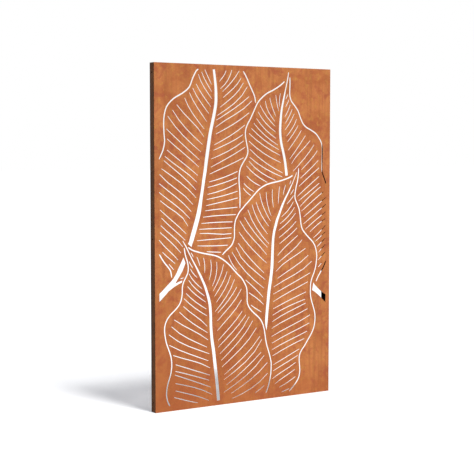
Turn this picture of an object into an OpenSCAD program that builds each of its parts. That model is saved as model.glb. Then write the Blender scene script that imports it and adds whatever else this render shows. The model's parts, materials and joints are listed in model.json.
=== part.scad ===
// Laser cut metal screen: a thin face sheet with four banana leaves cut through it, plug welded from
// behind to a mitred frame of folded channels. Millimetres, +Z up, front towards -Y.
// Origin: on the ground, under the middle of the screen.

/* [Screen] */
// Width of the screen
screen_w = 1100; // [1000:5:1250]
// Height of the screen
screen_h = 1800; // [1600:5:2000]
// Depth of the screen, from the front of the sheet to the back of the frame
screen_d = 48; // [38:1:60]
// Thickness of the cut face sheet
sheet_t = 2; // [1.5:0.5:3]

/* [Frame] */
// Thickness of the folded channels
channel_t = 2; // [1.5:0.5:3]
// Width of each channel's front flange, behind the sheet
flange_w = 20; // [16:1:24]
// Width of the stiles' rear lips
stile_lip = 20; // [16:1:30]
// Width of the rails' rear lips
rail_lip = 12; // [10:1:20]
// Radius inside each fold
fold_r = 1; // [0.5:0.5:2]

/* [Fixing holes] */
// Diameter of the fixing holes in the two sides
hole_d = 9; // [6:0.5:12]
// Height of the end holes from the ends of the screen
hole_inset = 50; // [35:1:90]
// Diameter of the drain holes in the bottom rail
drain_d = 8; // [5:0.5:12]
// Drain holes along the bottom rail
drains = 3; // [2:1:6]

/* [Welds] */
// Diameter of the plug welds that hold the sheet to the frame
plug_d = 8; // [6:0.5:10]
// How far a plug weld's head laps over its hole
plug_lap = 1.5; // [1:0.5:2]
// Height of a plug weld's head
plug_head = 1; // [0.5:0.5:2]
// Longest distance between two plug welds
plug_pitch = 160; // [100:5:250]
// First plug weld's distance from the corner
plug_inset = 70; // [50:5:100]
// Gap between a plug weld and its hole in the flange
plug_gap = 0.1; // [0.05:0.05:0.3]
// Leg of the fillet weld inside each corner
fillet_leg = 4; // [3:0.5:6]
// Radius of the bead along each mitre
bead_r = 2; // [1.5:0.5:3]

/* [Leaf pattern] */
// Plain border round the pattern
border = 25; // [25:1:60]
// Width of the slots that draw a leaf's edge
edge_slot = 7; // [5:0.5:10]
// Width of a vein slot at its middle
vein_slot = 4.2; // [3:0.1:6]
// Width of a vein slot next to the midrib
vein_root = 2.5; // [2:0.5:4]
// Scale of the midribs' width
rib_scale = 1; // [0.7:0.05:1.2]

/* [Hidden] */
$fn = 48;

face_color = "#b5683a";
frame_color = "#8a4f2d";
weld_color = "#6b5546";

front_y = -screen_d / 2;                 // front of the sheet
frame_y = front_y + sheet_t;             // front of the frame, against the sheet's back
back_y = screen_d / 2;                   // back of the frame
channel_d = back_y - frame_y;            // depth of the channels
inner_fold = channel_t + fold_r;         // where a channel's flat walls begin, inside it
cut = 1;                                 // how far a cutter runs past what it cuts

// Points of the pattern are drawn on a board of this size, with its own border, and then moved to
// the screen: x from the middle, z from the ground.
board_w = 1100;
board_h = 1800;
board_border = 25;
edge_steps = 3;                          // straight runs between two points of a leaf's edge
vein_steps = 4;                          // straight runs in a vein

// ---------------------------------------------------------------- curves

function at(p) = [
    p.x * (screen_w - 2 * border) / (board_w - 2 * board_border),
    border + (p.y - board_border) * (screen_h - 2 * border) / (board_h - 2 * board_border)
];

// Point at parameter u of a smooth curve through pts, one unit of u between two points.
function smooth(pts, u) =
    let (
        last = len(pts) - 2,
        i = min(floor(u), last),
        t = u - i,
        b = pts[i],
        c = pts[i + 1],
        a = i > 0 ? pts[i - 1] : 2 * b - c,
        d = i < last ? pts[i + 2] : 2 * c - b
    )
    b + (c - a) * t / 2 + (2 * a - 5 * b + 4 * c - d) * t * t / 2 + (3 * b - a - 3 * c + d) * t * t * t / 2;

function smooth_line(pts, steps) =
    [for (k = [0 : (len(pts) - 1) * steps]) smooth(pts, k / steps)];

function bezier(p0, p1, p2, p3, t) =
    let (s = 1 - t)
    s * s * s * p0 + 3 * s * s * t * p1 + 3 * s * t * t * p2 + t * t * t * p3;

function heading(angle) = [cos(angle), sin(angle)];

function along(line, i) =
    let (run = line[min(i + 1, len(line) - 1)] - line[max(i - 1, 0)])
    run / norm(run);

function beside(line, i, offset) =
    let (d = along(line, i))
    line[i] + offset * [-d.y, d.x];

// Outline of a slot along a line, with a width at each point, and a pointed tip of given length at
// either end.
function slot_outline(line, widths, start_tip, end_tip) =
    let (last = len(line) - 1)
    concat(
        start_tip > 0 ? [line[0] - start_tip * along(line, 0)] : [],
        [for (i = [0 : last]) beside(line, i, widths[i] / 2)],
        end_tip > 0 ? [line[last] + end_tip * along(line, last)] : [],
        [for (i = [last : -1 : 0]) beside(line, i, -widths[i] / 2)]
    );

// ---------------------------------------------------------------- slots

// The edge of a leaf: an even slot with narrower, rounded ends.
module edge_cut(pts) {
    line = smooth_line([for (p = pts) at(p)], edge_steps);
    last = len(line) - 1;
    widths = [for (i = [0 : last]) edge_slot * (i == 0 || i == last ? 0.6 : 1)];
    polygon(slot_outline(line, widths, edge_slot / 4, edge_slot / 4));
}

// A midrib: pts are [x, z, width].
module rib_cut(pts) {
    line = smooth_line([for (p = pts) at(p)], edge_steps);
    widths = smooth_line([for (p = pts) p.z * rib_scale], edge_steps);
    polygon(slot_outline(line, widths, 0, 0));
}

// A vein from p, beside the midrib, to q, beside the leaf's edge. It leaves p at bends[0] degrees to
// the chord and reaches q at bends[1] degrees to it.
module vein_cut(p, q, bends) {
    a = at(p);
    b = at(q);
    chord = b - a;
    angle = atan2(chord.y, chord.x);
    reach = norm(chord) / 3;
    a1 = a + reach * heading(angle + bends[0]);
    b1 = b - reach * heading(angle + bends[1]);
    line = [for (k = [0 : vein_steps]) bezier(a, a1, b1, b, k / vein_steps)];
    widths = [for (k = [0 : vein_steps]) k == 0 ? vein_root : k == vein_steps ? 0.8 * vein_slot : vein_slot];
    polygon(slot_outline(line, widths, vein_root, vein_slot / 3));
}

// A pair of numbers of vein i, from the keys on either side of it.
function between(keys, i, column) =
    [for (axis = [0, 1]) lookup(i, [for (k = keys) [k[0], k[column][axis]]])];

// A row of veins. Each key is [number of the vein, inner end, outer end, bends], and the veins
// between two keys are spread evenly.
module vein_row(keys) {
    for (i = [keys[0][0] : keys[len(keys) - 1][0]])
        vein_cut(between(keys, i, 1), between(keys, i, 2), between(keys, i, 3));
}

// ---------------------------------------------------------------- leaves

// The tall leaf, cut off by the top of the screen, with its stalk at the left border.
module tall_leaf() {
    rib_cut([
        [-198, 1775, 14], [-188, 1700, 15.5], [-185, 1650, 17.5], [-186, 1600, 18],
        [-195, 1550, 18.5], [-207, 1500, 18.5], [-219, 1450, 19], [-228, 1400, 20],
        [-236, 1350, 20.5], [-244, 1300, 20], [-251, 1250, 19], [-260, 1200, 18],
        [-268, 1150, 17.5], [-277, 1100, 19], [-286, 1050, 23.5], [-298, 1000, 25.5],
        [-330, 900, 25.5], [-337, 879, 23.5]
    ]);
    // The midrib's slanted foot, above the low leaf's edge.
    polygon([for (p = [[-347, 884], [-326, 877], [-334, 852], [-356, 870]]) at(p)]);
    // The stalk below it, down to the left border, with a side shoot and a short slot beside it.
    polygon([for (p = [
        [-382, 801], [-397, 772], [-409, 751], [-423, 722], [-431, 709], [-441, 695], [-454, 681],
        [-480, 658], [-508, 632], [-524, 619], [-524, 577], [-508, 592], [-490, 609], [-470, 629],
        [-448, 643], [-433, 652], [-414, 661], [-391, 671], [-390, 681], [-410, 675], [-431, 667],
        [-418, 686], [-408, 700], [-388, 730], [-379, 750], [-370, 770]
    ]) at(p)]);
    vein_cut([-400, 690], [-383, 694], [0, 0]);
    edge_cut([
        [-291, 1773], [-304, 1763], [-325, 1725], [-345, 1680], [-385, 1648], [-436, 1620],
        [-478, 1577], [-494, 1515], [-493, 1440], [-490, 1400], [-500, 1355], [-522, 1310]
    ]);
    edge_cut([[-17, 1771], [2, 1742], [22, 1703], [43, 1664], [55, 1638], [60, 1608]]);
    edge_cut([[-523, 822], [-510, 801], [-493, 777], [-473, 754], [-458, 732], [-452, 700]]);
    vein_row([
        [0, [-212, 1698], [-251, 1772], [2, -4]],
        [2, [-211, 1623], [-291, 1747], [6, -15]],
        [3, [-217, 1582], [-304, 1697], [3, -8]],
        [4, [-228, 1545], [-324, 1675], [4, -10]],
        [5, [-242, 1505], [-344, 1651], [3, -10]],
        [6, [-257, 1466], [-372, 1623], [6, -14]],
        [7, [-258, 1425], [-418, 1588], [-12, -7]],
        [8, [-268, 1386], [-443, 1560], [7, -13]],
        [9, [-277, 1347], [-471, 1529], [7, -11]],
        [10, [-285, 1305], [-479, 1464], [1, -1]],
        [11, [-289, 1268], [-475, 1413], [-3, -2]],
        [12, [-297, 1225], [-476, 1357], [-3, -2]],
        [13, [-301, 1189], [-489, 1324], [-8, -2]],
        [14, [-307, 1150], [-494, 1302], [-7, 1]],
        [15, [-306, 1109], [-508, 1261], [-10, 4]],
        [16, [-325, 1074], [-519, 1232], [-11, -9]],
        [17, [-335, 1037], [-522, 1185], [-9, 1]],
        [18, [-344, 1001], [-522, 1140], [-10, 0]],
        [19, [-355, 963], [-517, 1098], [-27, -2]],
        [20, [-366, 923], [-517, 1050], [-4, -2]],
        [21, [-372, 890], [-510, 1009], [-1, -3]],
        [22, [-386, 856], [-514, 971], [-11, -4]],
        [23, [-398, 825], [-518, 935], [-6, 3]],
        [24, [-415, 789], [-524, 896], [-4, -7]],
        [25, [-432, 771], [-505, 833], [0, -4]],
        [26, [-440, 739], [-467, 769], [0, -4]]
    ]);
    vein_row([
        [0, [-163, 1715], [-123, 1772], [-6, 20]],
        [1, [-157, 1677], [-88, 1775], [-20, 20]],
        [2, [-144, 1662], [-43, 1772], [-7, 10]],
        [3, [-141, 1631], [-31, 1735], [-5, 17]],
        [4, [-160, 1580], [-16, 1711], [-8, 19]],
        [5, [-177, 1537], [8, 1690], [-10, 22]],
        [6, [-181, 1513], [19, 1639], [-3, 7]],
        [7, [-188, 1475], [37, 1617], [4, 14]],
        [8, [-185, 1440], [20, 1554], [-4, 8]],
        [9, [-196, 1383], [-8, 1488], [-4, 8]],
        [10, [-200, 1355], [-20, 1437], [-3, 7]],
        [11, [-213, 1310], [-16, 1404], [-6, 10]],
        [12, [-216, 1267], [-7, 1370], [-2, 3]],
        [13, [-223, 1231], [-16, 1315], [0, 3]],
        [14, [-226, 1190], [-53, 1243], [-5, 6]],
        [15, [-235, 1161], [-57, 1209], [-4, 4]],
        [16, [-236, 1125], [-57, 1180], [-8, 9]],
        [17, [-241, 1098], [-53, 1138], [-3, 5]],
        [18, [-244, 1066], [-52, 1102], [0, 2]],
        [19, [-250, 1039], [-54, 1053], [3, 1]],
        [20, [-263, 1006], [-64, 1014], [4, -1]],
        [21, [-273, 973], [-85, 976], [3, -2]],
        [22, [-287, 943], [-89, 945], [1, 1]],
        [23, [-284, 921], [-91, 914], [5, 10]],
        [24, [-300, 884], [-92, 892], [1, 1]],
        [25, [-297, 857], [-114, 853], [-2, 3]],
        [26, [-242, 824], [-156, 817], [-2, 0]]
    ]);
}

// The leaf at the top right, whose lower half lies behind the middle leaf.
module high_leaf() {
    rib_cut([
        [272, 1775, 5], [267, 1745, 6.5], [260, 1713, 6.5], [253, 1685, 6.5],
        [243, 1642, 10], [233, 1600, 12], [226, 1563, 13], [221, 1515, 15],
        [218, 1458, 15.5], [224, 1400, 15.5], [237, 1350, 15.5], [249, 1300, 16],
        [257, 1250, 16.5], [261, 1217, 16.5]
    ]);
    // The stalk, from the middle leaf's edge to the right border.
    polygon([for (p = [
        [442, 622], [453, 607], [469, 592], [484, 578], [500, 566], [525, 549], [525, 505],
        [513, 515], [500, 528], [488, 540], [475, 551], [455, 567], [434, 579]
    ]) at(p)]);
    edge_cut([
        [245, 1725], [226, 1709], [201, 1693], [168, 1675], [133, 1659], [98, 1633], [72, 1605],
        [50, 1564], [28, 1522], [12, 1497], [1, 1473], [-4, 1447], [-1, 1417], [6, 1384],
        [12, 1356], [10, 1335], [0, 1314], [-20, 1286], [-36, 1256], [-43, 1220], [-43, 1184],
        [-39, 1142], [-37, 1101], [-38, 1048]
    ]);
    edge_cut([
        [281, 1748], [281, 1700], [280, 1655], [290, 1622], [311, 1598], [335, 1568], [350, 1533],
        [367, 1501], [390, 1480], [421, 1465], [454, 1446], [474, 1424], [489, 1402], [497, 1376],
        [498, 1340], [497, 1290], [497, 1245], [503, 1220], [514, 1195], [524, 1169]
    ]);
    edge_cut([[525, 737], [515, 715], [502, 692], [488, 673], [472, 649], [461, 627]]);
    vein_row([
        [0, [213, 1590], [219, 1660], [10, -10]],
        [1, [208, 1566], [189, 1650], [6, -4]],
        [2, [190, 1537], [151, 1635], [8, -8]],
        [3, [184, 1510], [122, 1618], [16, -24]],
        [4, [186, 1483], [90, 1593], [9, -13]],
        [5, [187, 1454], [77, 1559], [12, -17]],
        [6, [190, 1419], [67, 1523], [10, -12]],
        [7, [202, 1383], [50, 1498], [9, -11]],
        [8, [209, 1358], [34, 1471], [8, -9]],
        [9, [218, 1327], [19, 1444], [8, -9]],
        [10, [222, 1288], [19, 1403], [9, -11]],
        [11, [233, 1232], [26, 1359], [8, -10]],
        [12, [232, 1210], [24, 1317], [8, -10]],
        [13, [188, 1193], [19, 1296], [12, -16]],
        [14, [133, 1183], [4, 1271], [9, -13]],
        [15, [91, 1163], [5, 1217], [10, -14]],
        [16, [50, 1134], [-13, 1179], [10, -12]],
        [17, [31, 1113], [-17, 1153], [10, -12]]
    ]);
    vein_row([
        [0, [255, 1631], [267, 1656], [0, 8]],
        [1, [253, 1589], [275, 1629], [0, 8]],
        [2, [248, 1534], [283, 1600], [-8, 8]],
        [3, [251, 1500], [296, 1576], [-6, 8]],
        [4, [250, 1464], [310, 1552], [-6, 8]],
        [5, [260, 1431], [326, 1524], [-10, 14]],
        [6, [266, 1400], [335, 1488], [-5, 7]],
        [7, [271, 1355], [357, 1463], [-3, 5]],
        [8, [281, 1307], [384, 1434], [-3, 3]],
        [9, [292, 1281], [416, 1407], [12, 3]],
        [10, [305, 1241], [443, 1385], [-4, 8]]
    ]);
    vein_row([
        [11, [359, 1248], [465, 1352], [-4, 9]],
        [12, [352, 1201], [472, 1299], [-2, 4]],
        [13, [342, 1156], [477, 1257], [2, -1]],
        [14, [333, 1102], [477, 1209], [2, -2]],
        [15, [342, 1078], [479, 1172], [0, 0]],
        [16, [350, 1046], [488, 1152], [4, -5]],
        [17, [361, 1021], [505, 1123], [1, -2]],
        [18, [376, 989], [522, 1091], [0, 0]],
        [19, [375, 950], [523, 1053], [0, 0]],
        [20, [388, 920], [523, 1012], [3, -2]],
        [21, [417, 904], [521, 974], [6, -5]],
        [22, [441, 870], [522, 936], [-7, 4]],
        [23, [455, 850], [522, 900], [0, 0]],
        [25, [476, 788], [521, 830], [0, 0]],
        [26, [475, 746], [521, 788], [0, 0]],
        [27, [474, 705], [499, 728], [0, 0]]
    ]);
}

// The leaf in the middle, in front of the high leaf.
module middle_leaf() {
    rib_cut([
        [328, 1234, 3.5], [313, 1203, 4.5], [301, 1177, 4.5], [286, 1150, 7.5],
        [272, 1124, 8.5], [256, 1098, 10], [242, 1072, 11.5], [233, 1054, 13],
        [221, 1027, 13], [210, 1001, 14.5], [199, 975, 16], [191, 948, 16.5],
        [181, 915, 16], [175, 880, 15.5], [172, 842, 16.5], [170, 792, 17],
        [168, 740, 19], [164, 694, 18.5], [156, 641, 19.5], [148, 590, 19],
        [142, 536, 18.5], [136, 483, 18], [132, 436, 18], [131, 404, 12],
        [133, 377, 1]
    ]);
    edge_cut([
        [300, 1217], [285, 1209], [267, 1202], [233, 1192], [200, 1185], [167, 1179], [133, 1171],
        [104, 1158], [79, 1142], [54, 1119], [25, 1090], [0, 1067], [-22, 1045], [-40, 1027],
        [-54, 1005], [-66, 981], [-71, 954], [-72, 928], [-72, 898], [-77, 877], [-86, 857],
        [-100, 842], [-125, 823], [-147, 803]
    ]);
    edge_cut([
        [340, 1257], [338, 1217], [333, 1187], [325, 1158], [319, 1129], [316, 1104], [321, 1082],
        [333, 1058], [344, 1033], [350, 1004], [354, 975], [358, 946], [367, 920], [383, 900],
        [408, 875], [433, 852], [450, 829], [459, 804], [465, 771], [462, 737], [456, 704],
        [446, 675], [433, 646], [424, 615], [423, 585], [423, 555], [430, 522], [442, 487],
        [452, 454], [455, 425], [453, 397], [446, 367], [431, 337], [408, 304], [385, 272],
        [364, 247], [351, 222], [349, 190], [352, 158], [353, 129], [347, 100], [333, 76],
        [311, 52], [283, 26]
    ]);
    vein_row([
        [0, [282, 1169], [290, 1189], [7, -8]],
        [1, [239, 1112], [255, 1165], [7, -8]],
        [2, [207, 1065], [215, 1158], [2, -3]],
        [3, [176, 1047], [169, 1143], [9, -10]],
        [4, [161, 1000], [129, 1128], [12, -15]],
        [5, [157, 972], [87, 1124], [11, -15]],
        [6, [146, 945], [64, 1077], [12, -13]],
        [7, [138, 903], [39, 1063], [13, -16]],
        [8, [146, 850], [12, 1037], [12, -15]],
        [9, [137, 831], [-9, 997], [6, -9]],
        [10, [133, 790], [-38, 979], [-3, -14]],
        [11, [132, 745], [-43, 919], [5, -9]],
        [12, [116, 692], [-48, 860], [5, -8]],
        [13, [121, 656], [-63, 838], [5, -24]],
        [14, [114, 610], [-86, 813], [10, -15]]
    ]);
    // Veins that the low leaf cuts short.
    vein_cut([110, 560], [-1, 660], [-6, 3]);
    vein_cut([112, 521], [20, 590], [-10, 4]);
    vein_cut([98, 481], [32, 523], [2, -6]);
    vein_cut([-57, 716], [-109, 798], [14, -14]);
    vein_row([
        [0, [287, 1113], [307, 1141], [0, 10]],
        [1, [264, 1062], [307, 1107], [-2, 8]],
        [2, [230, 994], [306, 1073], [-12, 14]],
        [4, [211, 919], [321, 1011], [-8, 12]],
        [5, [213, 880], [325, 966], [-5, 10]],
        [6, [217, 847], [331, 929], [-3, 6]],
        [7, [204, 783], [335, 887], [8, -2]],
        [8, [208, 744], [365, 862], [-1, 12]],
        [9, [193, 697], [388, 814], [14, 2]],
        [10, [203, 657], [406, 774], [0, 9]],
        [11, [180, 613], [430, 740], [1, 15]],
        [12, [177, 573], [420, 676], [0, 1]],
        [13, [177, 532], [404, 627], [4, 0]],
        [14, [176, 492], [392, 571], [2, -2]],
        [15, [172, 457], [386, 531], [8, -4]],
        [16, [170, 422], [391, 509], [7, -1]],
        [17, [168, 386], [403, 477], [6, 2]],
        [18, [167, 341], [421, 441], [3, 4]],
        [19, [169, 304], [416, 396], [4, 1]],
        [20, [169, 268], [401, 351], [4, 0]],
        [21, [172, 233], [382, 311], [4, -4]],
        [22, [179, 184], [349, 256], [0, 0]],
        [23, [177, 150], [339, 221], [2, 2]],
        [24, [171, 107], [325, 183], [5, 5]],
        [25, [187, 77], [319, 144], [4, 2]],
        [26, [217, 55], [322, 103], [-5, 5]],
        [27, [233, 27], [282, 40], [0, -4]]
    ]);
}

// The low leaf, cut off by the bottom of the screen, in front of the others.
module low_leaf() {
    rib_cut([
        [-387, 887, 3], [-367, 856, 6.5], [-347, 817, 5.5], [-332, 790, 6.5],
        [-317, 764, 7.5], [-302, 738, 9], [-288, 712, 10.5], [-276, 690, 12],
        [-265, 667, 12], [-253, 641, 13.5], [-244, 615, 14], [-235, 588, 15.5],
        [-228, 562, 16], [-223, 536, 16.5], [-219, 483, 16], [-218, 430, 16.5],
        [-214, 378, 17], [-209, 337, 18.5], [-202, 296, 19], [-197, 254, 19],
        [-192, 212, 19.5], [-187, 171, 19], [-182, 129, 18.5], [-177, 80, 19],
        [-172, 25, 19]
    ]);
    edge_cut([
        [-378, 849], [-371, 812], [-360, 780], [-354, 750], [-356, 721], [-367, 698],
        [-381, 673], [-389, 646], [-390, 615], [-393, 592], [-401, 567], [-415, 546],
        [-437, 525], [-462, 504], [-481, 480], [-492, 454], [-495, 425], [-492, 396],
        [-485, 362], [-473, 329], [-461, 296], [-455, 267], [-454, 237], [-457, 208],
        [-465, 179], [-476, 148], [-483, 117], [-485, 88], [-481, 62], [-474, 43], [-466, 29]
    ]);
    edge_cut([
        [-354, 851], [-332, 837], [-304, 827], [-267, 817], [-233, 810], [-200, 803],
        [-175, 795], [-150, 782], [-125, 765], [-100, 744], [-78, 721], [-53, 696], [-27, 672],
        [-10, 647], [3, 622], [7, 598], [8, 573], [8, 547], [13, 525], [25, 505], [45, 484],
        [66, 466], [84, 450], [99, 431], [110, 409], [118, 382], [123, 353], [128, 323],
        [135, 294], [144, 268], [151, 246], [158, 221], [163, 198], [163, 172], [162, 148],
        [159, 124], [153, 97], [146, 73], [138, 52], [129, 33]
    ]);
    vein_row([
        [0, [-327, 743], [-349, 777], [4, -8]],
        [1, [-302, 691], [-341, 738], [6, -14]],
        [2, [-272, 630], [-349, 713], [8, -16]],
        [3, [-257, 591], [-351, 679], [8, -14]],
        [4, [-251, 559], [-358, 647], [6, -11]],
        [5, [-246, 521], [-367, 611], [6, -9]],
        [6, [-243, 485], [-380, 585], [6, -8]],
        [7, [-241, 429], [-383, 544], [-10, -5]],
        [8, [-239, 395], [-407, 516], [4, -10]],
        [9, [-236, 356], [-438, 478], [-7, -5]],
        [10, [-243, 318], [-454, 443], [4, -14]],
        [11, [-229, 282], [-469, 402], [4, -15]],
        [12, [-235, 245], [-467, 347], [1, -6]],
        [13, [-225, 206], [-445, 292], [-11, -1]],
        [14, [-226, 167], [-430, 242], [0, 0]],
        [15, [-230, 140], [-431, 207], [-2, 2]],
        [16, [-220, 102], [-435, 188], [-1, 1]],
        [17, [-212, 62], [-431, 143], [-11, 5]],
        [18, [-232, 32], [-431, 104], [-7, 2]],
        [19, [-300, 27], [-440, 70], [4, 0]]
    ]);
    vein_row([
        [0, [-324, 799], [-337, 822], [-6, 14]],
        [1, [-284, 750], [-302, 798], [-4, 8]],
        [2, [-255, 714], [-262, 792], [-8, 14]],
        [3, [-228, 674], [-219, 780], [-18, 18]],
        [4, [-209, 640], [-182, 767], [-20, 20]],
        [5, [-204, 614], [-140, 752], [-9, 15]],
        [6, [-196, 585], [-118, 713], [-8, 13]],
        [7, [-184, 553], [-96, 692], [-9, 15]],
        [8, [-191, 504], [-72, 667], [-10, 15]],
        [9, [-176, 495], [-58, 626], [-7, 11]],
        [10, [-178, 453], [-29, 614], [-3, 14]],
        [11, [-177, 402], [-28, 555], [-2, 11]],
        [12, [-173, 348], [-23, 494], [-2, 8]],
        [13, [-173, 312], [-1, 471], [-3, 9]],
        [14, [-163, 275], [20, 460], [-7, 15]],
        [15, [-154, 239], [44, 437], [-6, 14]],
        [16, [-150, 203], [67, 396], [-5, 15]],
        [17, [-135, 161], [89, 348], [-7, 13]],
        [18, [-138, 133], [102, 330], [-10, 22]],
        [19, [-122, 104], [97, 260], [-6, 6]],
        [20, [-137, 66], [117, 241], [-9, 15]],
        [21, [-92, 55], [138, 200], [-7, 13]],
        [22, [-86, 26], [139, 140], [-12, 18]],
        [23, [60, 41], [118, 76], [-4, 8]]
    ]);
}

module leaf_pattern() {
    tall_leaf();
    high_leaf();
    middle_leaf();
    low_leaf();
}

// ---------------------------------------------------------------- sheet

module face_sheet() {
    color(face_color)
    translate([0, frame_y, 0])
    rotate([90, 0, 0])
    linear_extrude(sheet_t)
    difference() {
        translate([-screen_w / 2, 0])
        square([screen_w, screen_h]);
        leaf_pattern();
    }
}

// ---------------------------------------------------------------- frame

// Section of a channel: x runs inwards from its outer face, y from front to back.
module channel_section(lip) {
    difference() {
        union() {
            translate([inner_fold, 0])
            square([flange_w - inner_fold, channel_t]);
            translate([inner_fold, channel_d - channel_t])
            square([lip - inner_fold, channel_t]);
            translate([0, inner_fold])
            square([channel_t, channel_d - 2 * inner_fold]);
            for (y = [inner_fold, channel_d - inner_fold])
                translate([inner_fold, y])
                circle(inner_fold);
        }
        for (y = [inner_fold, channel_d - inner_fold])
            translate([inner_fold, y])
            circle(fold_r);
        translate([inner_fold, channel_t])
        square([inner_fold, channel_d - 2 * channel_t]);
        translate([channel_t, inner_fold])
        square([inner_fold, channel_d - 2 * inner_fold]);
    }
}

// A channel that runs up from the ground, on the left of x = 0, with both ends mitred.
module mitred_channel(length, lip) {
    reach = max(flange_w, lip) + cut;
    intersection() {
        linear_extrude(length)
        channel_section(lip);
        translate([0, channel_d + cut, 0])
        rotate([90, 0, 0])
        linear_extrude(channel_d + 2 * cut)
        polygon([[0, 0], [reach, reach], [reach, length - reach], [0, length]]);
    }
}

// Places along a member of this length for its plug welds, from one end.
function plug_places(length) =
    let (
        run = length - 2 * plug_inset,
        gaps = ceil(run / plug_pitch)
    )
    [for (k = [0 : gaps]) plug_inset + k * run / gaps];

// Cutters for the plug welds' holes in the flange of a channel at its own origin.
module plug_holes(length) {
    for (z = plug_places(length))
        translate([flange_w / 2, channel_t + cut, z])
        rotate([90, 0, 0])
        cylinder(d = plug_d + 2 * plug_gap, h = channel_t + 2 * cut);
}

// One plug weld: a shank through the flange down to the sheet and a head over the flange.
module plug_welds(length) {
    for (z = plug_places(length))
        translate([flange_w / 2, 0, z])
        rotate([-90, 0, 0])
        union() {
            cylinder(d = plug_d, h = channel_t + plug_head / 2);
            translate([0, 0, channel_t])
            cylinder(d1 = plug_d + 2 * plug_lap, d2 = plug_d - plug_lap, h = plug_head);
        }
}

// Moves a channel, drawn at its own origin with its length up, to one side of the screen.
module on_left() {
    translate([-screen_w / 2, frame_y, 0])
    children();
}

module on_right() {
    mirror([1, 0, 0])
    on_left()
    children();
}

module on_bottom() {
    translate([-screen_w / 2, frame_y, 0])
    mirror([1, 0, -1])
    children();
}

module on_top() {
    translate([0, 0, screen_h])
    mirror([0, 0, 1])
    on_bottom()
    children();
}

module stile() {
    difference() {
        mitred_channel(screen_h, stile_lip);
        plug_holes(screen_h);
        for (z = [hole_inset, screen_h / 2, screen_h - hole_inset])
            translate([-cut, channel_d / 2, z])
            rotate([0, 90, 0])
            cylinder(d = hole_d, h = channel_t + 2 * cut);
    }
}

module rail(drained) {
    difference() {
        mitred_channel(screen_w, rail_lip);
        plug_holes(screen_w);
        if (drained)
            for (k = [0 : drains - 1])
                translate([-cut, channel_d / 2, screen_w * (k + 0.5) / drains])
                rotate([0, 90, 0])
                cylinder(d = drain_d, h = channel_t + 2 * cut);
    }
}

module left_stile() {
    color(frame_color)
    on_left()
    stile();
}

module right_stile() {
    color(frame_color)
    on_right()
    stile();
}

module top_rail() {
    color(frame_color)
    on_top()
    rail(false);
}

module bottom_rail() {
    color(frame_color)
    on_bottom()
    rail(true);
}

// ---------------------------------------------------------------- welds

module left_plug_welds() {
    color(weld_color)
    on_left()
    plug_welds(screen_h);
}

module right_plug_welds() {
    color(weld_color)
    on_right()
    plug_welds(screen_h);
}

module top_plug_welds() {
    color(weld_color)
    on_top()
    plug_welds(screen_w);
}

module bottom_plug_welds() {
    color(weld_color)
    on_bottom()
    plug_welds(screen_w);
}

// The weld inside the bottom left corner: a fillet along the two webs, between the folds, and a
// half-round bead along the mitre of the rear lips, on their inner face.
module corner_weld() {
    lip_y = channel_d - channel_t;
    lip = min(stile_lip, rail_lip);
    translate([channel_t, channel_d - inner_fold, channel_t])
    rotate([90, 0, 0])
    linear_extrude(channel_d - 2 * inner_fold)
    polygon([[0, 0], [fillet_leg, 0], [0, fillet_leg]]);
    intersection() {
        translate([0, lip_y, 0])
        rotate([0, 45, 0])
        translate([0, 0, (inner_fold + bead_r) * sqrt(2)])
        cylinder(r = bead_r, h = (lip - inner_fold - 2 * bead_r) * sqrt(2));
        translate([0, lip_y - bead_r, 0])
        cube([lip, bead_r, lip]);
    }
}

module bottom_left_corner_weld() {
    color(weld_color)
    on_left()
    corner_weld();
}

module bottom_right_corner_weld() {
    color(weld_color)
    on_right()
    corner_weld();
}

module top_left_corner_weld() {
    color(weld_color)
    translate([0, 0, screen_h])
    mirror([0, 0, 1])
    on_left()
    corner_weld();
}

module top_right_corner_weld() {
    color(weld_color)
    translate([0, 0, screen_h])
    mirror([0, 0, 1])
    on_right()
    corner_weld();
}

face_sheet();
left_stile();
right_stile();
top_rail();
bottom_rail();
left_plug_welds();
right_plug_welds();
top_plug_welds();
bottom_plug_welds();
top_left_corner_weld();
top_right_corner_weld();
bottom_left_corner_weld();
bottom_right_corner_weld();
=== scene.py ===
import json

import bpy
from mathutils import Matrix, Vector


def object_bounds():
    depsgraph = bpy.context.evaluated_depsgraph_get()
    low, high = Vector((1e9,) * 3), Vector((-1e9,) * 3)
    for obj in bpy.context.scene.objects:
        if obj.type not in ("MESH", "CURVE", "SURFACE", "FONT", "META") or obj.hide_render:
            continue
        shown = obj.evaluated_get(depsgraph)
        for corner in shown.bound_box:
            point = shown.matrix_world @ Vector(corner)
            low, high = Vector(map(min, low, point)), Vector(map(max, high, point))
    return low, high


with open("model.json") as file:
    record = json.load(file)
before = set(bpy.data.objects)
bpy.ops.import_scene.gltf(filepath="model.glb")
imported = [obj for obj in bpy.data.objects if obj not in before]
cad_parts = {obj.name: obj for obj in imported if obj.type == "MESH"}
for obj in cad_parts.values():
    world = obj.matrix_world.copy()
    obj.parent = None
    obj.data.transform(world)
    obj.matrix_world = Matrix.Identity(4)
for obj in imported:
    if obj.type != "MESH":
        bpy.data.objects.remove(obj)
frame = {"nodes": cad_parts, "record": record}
cad_box = [list(corner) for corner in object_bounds()]
HALF_WIDTH, BACK, HEIGHT = cad_box[1]


# ---------------------------------------------------------------- node helpers


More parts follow.
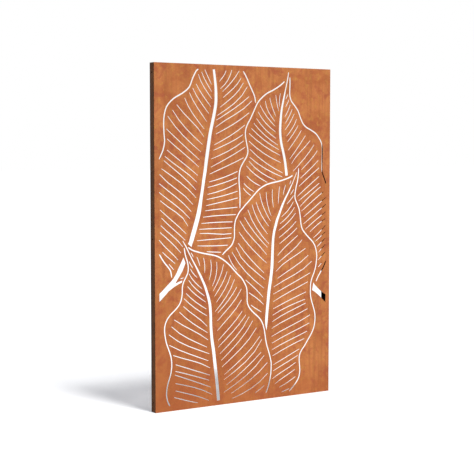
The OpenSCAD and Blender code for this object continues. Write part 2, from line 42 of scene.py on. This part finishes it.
class Tree:
    """Adds nodes to one node tree and joins them up. Its helpers return the new node's output."""

    def __init__(self, owner):
        owner.use_nodes = True
        self.tree = owner.node_tree
        self.tree.nodes.clear()

    def add(self, kind, inputs=None, **settings):
        node = self.tree.nodes.new(kind)
        for name, value in settings.items():
            setattr(node, name, value)
        for name, value in (inputs or {}).items():
            self.feed(node.inputs[name], value)
        return node

    def feed(self, socket, value):
        if isinstance(value, bpy.types.NodeSocket):
            self.tree.links.new(value, socket)
        else:
            socket.default_value = value

    def place(self, stretch=(1, 1, 1)):
        """Object coordinates, which are the part's own metres, times stretch."""
        here = self.add("ShaderNodeTexCoord").outputs["Object"]
        return self.add("ShaderNodeMapping", {"Vector": here, "Scale": stretch}).outputs[0]

    def axis(self, name):
        """One object coordinate, in metres."""
        return self.add("ShaderNodeSeparateXYZ", {0: self.place()}).outputs[name]

    def noise(self, scale, detail, rough, stretch=(1, 1, 1), bend=0.0):
        inputs = {
            "Vector": self.place(stretch),
            "Scale": scale,
            "Detail": detail,
            "Roughness": rough,
            "Distortion": bend,
        }
        return self.add("ShaderNodeTexNoise", inputs).outputs["Fac"]

    def ramp(self, value, low, high, start=0.0, end=1.0):
        """value between low and high, spread over start to end."""
        inputs = {0: value, 1: low, 2: high, 3: start, 4: end}
        return self.add("ShaderNodeMapRange", inputs, clamp=True).outputs[0]

    def math(self, operation, *values):
        inputs = dict(enumerate(values))
        return self.add("ShaderNodeMath", inputs, operation=operation).outputs[0]

    def mix(self, factor, a, b):
        node = self.add("ShaderNodeMix", data_type="RGBA")
        self.feed(node.inputs[0], factor)
        self.feed(node.inputs[6], a)
        self.feed(node.inputs[7], b)
        return node.outputs[2]

    def tint(self, colour, mask, low, high, amount, shade):
        """colour, and up to this amount of shade in it as mask goes from low to high."""
        return self.mix(self.ramp(mask, low, high, 0.0, amount), colour, shade)

    def runs(self, along):
        """Upright streaks, as rain leaves them: 60 to a metre across, and this many along them."""
        return self.noise(1.0, 3.0, 0.6, stretch=(60, 60, along))

    def bump(self, height, strength, distance, normal=None):
        inputs = {"Height": height, "Strength": strength, "Distance": distance}
        if normal is not None:
            inputs["Normal"] = normal
        return self.add("ShaderNodeBump", inputs).outputs[0]


def rgb(r, g, b):
    """A colour as seen on a screen, 0 to 255, as Blender's linear colour."""
    return tuple(((v / 255 + 0.055) / 1.055) ** 2.4 for v in (r, g, b)) + (1.0,)


# ---------------------------------------------------------------- materials

PAINTED_SHADE_EDGES = 0.045  # metres from the sides, up to which the slots' cut edges are dark with painted shade
PALE_EDGES = 0.06  # and from which they are pale
SKIN = 0.0005  # metres, less than the steel's thickness: faces within it are the frame's outside


def finish(name, colour, rough, bump, metal=0.0):
    """colour, rough and bump are functions that take the tree and return a socket."""
    material = bpy.data.materials.new(name)
    t = Tree(material)
    inputs = {
        "Base Color": colour(t),
        "Roughness": rough(t),
        "Normal": bump(t),
        "Metallic": metal,
        "Specular IOR Level": 0.3,
    }
    shader = t.add("ShaderNodeBsdfPrincipled", inputs)
    t.add("ShaderNodeOutputMaterial", {"Surface": shader.outputs[0]})
    return material


def sheet_colour(t):
    """Orange rust with browner and redder clouds, ochre flecks, faint runs and painted shade on its
    lower end.
    The slots' cut edges are paler, but darkened with painted shade in front of the stiles."""
    brown_clouds = t.noise(6.0, 5.0, 0.6, bend=0.5)
    red_clouds = t.noise(15.0, 4.0, 0.6, bend=0.8)
    flecks = t.noise(37.0, 5.0, 0.6)
    grain = t.noise(300.0, 3.0, 0.7)
    face = t.tint(rgb(217, 138, 80), brown_clouds, 0.36, 0.64, 1.0, rgb(187, 106, 59))
    face = t.tint(face, red_clouds, 0.5, 0.66, 0.7, rgb(176, 86, 60))
    face = t.tint(face, flecks, 0.52, 0.7, 0.65, rgb(214, 150, 74))
    face = t.tint(face, t.runs(2.5), 0.45, 0.7, 0.45, rgb(160, 94, 52))
    face = t.tint(face, grain, 0.45, 0.75, 0.4, rgb(146, 82, 42))

    # Painted shade: the lower end of the face is darkened, reaching higher on the left.
    height = t.math("ADD", t.axis("Z"), t.math("MULTIPLY", t.axis("X"), 0.5))
    painted_low_shade = t.ramp(height, -HALF_WIDTH / 2, HALF_WIDTH, 0.78, 0.0)
    face = t.mix(painted_low_shade, face, rgb(172, 94, 48))

    # Painted shade on the cut edges in front of the stiles; the other cut edges are pale.
    beside = t.math("SUBTRACT", HALF_WIDTH, t.math("ABSOLUTE", t.axis("X")))
    edge = t.mix(t.ramp(beside, PAINTED_SHADE_EDGES, PALE_EDGES), rgb(70, 38, 22), rgb(240, 178, 130))
    normal = t.add("ShaderNodeTexCoord").outputs["Normal"]
    facing = t.math("ABSOLUTE", t.add("ShaderNodeSeparateXYZ", {0: normal}).outputs["Y"])
    return t.mix(t.ramp(facing, 0.7, 0.9), edge, face)


def frame_colour(t):
    """Brown rust, darkened towards the back and made near black within the channels by painted shade.
    """
    clouds = t.noise(9.0, 4.0, 0.6, bend=0.5)
    flecks = t.noise(45.0, 5.0, 0.65)
    colour = t.tint(rgb(112, 68, 34), clouds, 0.35, 0.65, 1.0, rgb(86, 50, 26))
    colour = t.tint(colour, flecks, 0.5, 0.72, 0.6, rgb(126, 78, 38))
    colour = t.tint(colour, t.runs(2), 0.45, 0.7, 0.45, rgb(66, 40, 26))
    # Painted shade: the frame darkens towards the back.
    colour = t.tint(colour, t.axis("Y"), 0.2 * BACK, BACK, 0.75, rgb(56, 40, 32))

    # Painted shade: faces within the channels are made near black.
    past_side = t.math("SUBTRACT", t.math("ABSOLUTE", t.axis("X")), HALF_WIDTH)
    from_middle = t.math("ABSOLUTE", t.math("SUBTRACT", t.axis("Z"), HEIGHT / 2))
    past_end = t.math("SUBTRACT", from_middle, HEIGHT / 2)
    depth = t.math("MULTIPLY", t.math("MAXIMUM", past_side, past_end), -1.0)
    before_back = t.math("LESS_THAN", t.axis("Y"), BACK - SKIN)
    painted_inside_shade = t.math("MULTIPLY", t.ramp(depth, SKIN, 3 * SKIN), before_back)
    return t.mix(painted_inside_shade, colour, rgb(24, 15, 11))


def weld_colour(t):
    """Dark weld metal with lighter brown rust on it."""
    metal = t.tint(rgb(88, 62, 48), t.noise(160.0, 4.0, 0.6), 0.35, 0.65, 1.0, rgb(58, 44, 40))
    return t.tint(metal, t.noise(420.0, 4.0, 0.6), 0.5, 0.7, 0.7, rgb(122, 78, 50))


def rust_rough(low, high):
    return lambda t: t.ramp(t.noise(60.0, 4.0, 0.6), 0.3, 0.7, low, high)


def rust_bump(strength):
    """Flakes of scale, and a fine grain on them."""

    def bump(t):
        scale = t.noise(90.0, 4.0, 0.6)
        grain = t.noise(900.0, 4.0, 0.65)
        return t.bump(grain, strength, 0.0003, t.bump(scale, strength, 0.0006))

    return bump


SLOT_MATERIALS = {
    "rusted_sheet": finish("rusted_sheet", sheet_colour, rust_rough(0.72, 0.92), rust_bump(0.35)),
    "rusted_frame": finish("rusted_frame", frame_colour, rust_rough(0.7, 0.9), rust_bump(0.4)),
    "weld_metal": finish("weld_metal", weld_colour, rust_rough(0.5, 0.75), rust_bump(0.8), metal=0.3),
}

for part in frame["record"]["subparts"]:
    mesh = frame["nodes"][part["node"]].data
    mesh.materials.clear()
    mesh.materials.append(SLOT_MATERIALS[part["material_slot"]])


# ---------------------------------------------------------------- floor, light and camera

WHITE = (1.0, 1.0, 1.0, 1.0)
COOL_WHITE = (0.887, 0.926, 1.0, 1.0)
FLOOR_GREY = (0.65, 0.65, 0.65, 1.0)
FLOOR_LIFT = 0.382  # what the camera sees on top of the floor's own light
FLOOR_REACH = 60.0  # metres from the screen to the floor's sides

WORLD_LIGHT = 0.27
# Slant towards the back and strength of three suns, whose shadows blend into one that fades.
SUNS = {"high": (0.34, 1.56), "middle": (0.45, 1.24), "low": (0.65, 0.54)}
SUN_LEFT = -0.2  # how far the light goes to the left for each metre to the back
SUN_DOWN = -0.86
SUN_ANGLE = 0.18

CAMERA_AT = (-3.3631, -5.4011, 1.3688)
CAMERA_LOOK = (0.5223, 0.8494, -0.0750)
CAMERA_SENSOR = 36.0
CAMERA_LENS = 90.27


def make_floor():
    """A floor that shows white and keeps the object's shadow."""
    mesh = bpy.data.meshes.new("floor")
    r = FLOOR_REACH
    mesh.from_pydata([(-r, -r, 0), (r, -r, 0), (r, r, 0), (-r, r, 0)], [], [(0, 1, 2, 3)])
    floor = bpy.data.objects.new("floor", mesh)
    bpy.context.scene.collection.objects.link(floor)
    material = bpy.data.materials.new("floor_white")
    t = Tree(material)
    paint = t.add("ShaderNodeBsdfDiffuse", {"Color": FLOOR_GREY}).outputs[0]
    seen = t.add("ShaderNodeLightPath").outputs["Is Camera Ray"]
    lift = t.add("ShaderNodeEmission", {"Color": COOL_WHITE})
    t.feed(lift.inputs["Strength"], t.math("MULTIPLY", seen, FLOOR_LIFT))
    both = t.add("ShaderNodeAddShader", {0: paint, 1: lift.outputs[0]})
    t.add("ShaderNodeOutputMaterial", {"Surface": both.outputs[0]})
    mesh.materials.append(material)


def make_world():
    """Even light from all round, which shows as white behind the object and in what it mirrors."""
    world = bpy.data.worlds.new("studio")
    bpy.context.scene.world = world
    t = Tree(world)
    path = t.add("ShaderNodeLightPath")
    seen = t.math("MAXIMUM", path.outputs["Is Camera Ray"], path.outputs["Is Glossy Ray"])
    seen = t.math("MAXIMUM", seen, path.outputs["Is Transmission Ray"])
    level = t.ramp(seen, 0.0, 1.0, WORLD_LIGHT, 1.0)
    back = t.add("ShaderNodeBackground", {"Color": WHITE, "Strength": level})
    t.add("ShaderNodeOutputWorld", {"Surface": back.outputs[0]})


def aim(thing, direction):
    thing.rotation_euler = Vector(direction).to_track_quat("-Z", "Y").to_euler()
    bpy.context.scene.collection.objects.link(thing)


def make_sun(name, slant, strength):
    lamp = bpy.data.lights.new(name, "SUN")
    lamp.energy = strength
    lamp.angle = SUN_ANGLE
    aim(bpy.data.objects.new(name, lamp), (SUN_LEFT * slant, slant, SUN_DOWN))


def make_camera():
    data = bpy.data.cameras.new("camera")
    data.sensor_width = CAMERA_SENSOR
    data.lens = CAMERA_LENS
    camera = bpy.data.objects.new("camera", data)
    camera.location = CAMERA_AT
    aim(camera, CAMERA_LOOK)
    bpy.context.scene.camera = camera


make_floor()
make_world()
for name, (slant, strength) in SUNS.items():
    make_sun("key_" + name, slant, strength)
make_camera()
bpy.context.scene.view_settings.view_transform = "Standard"
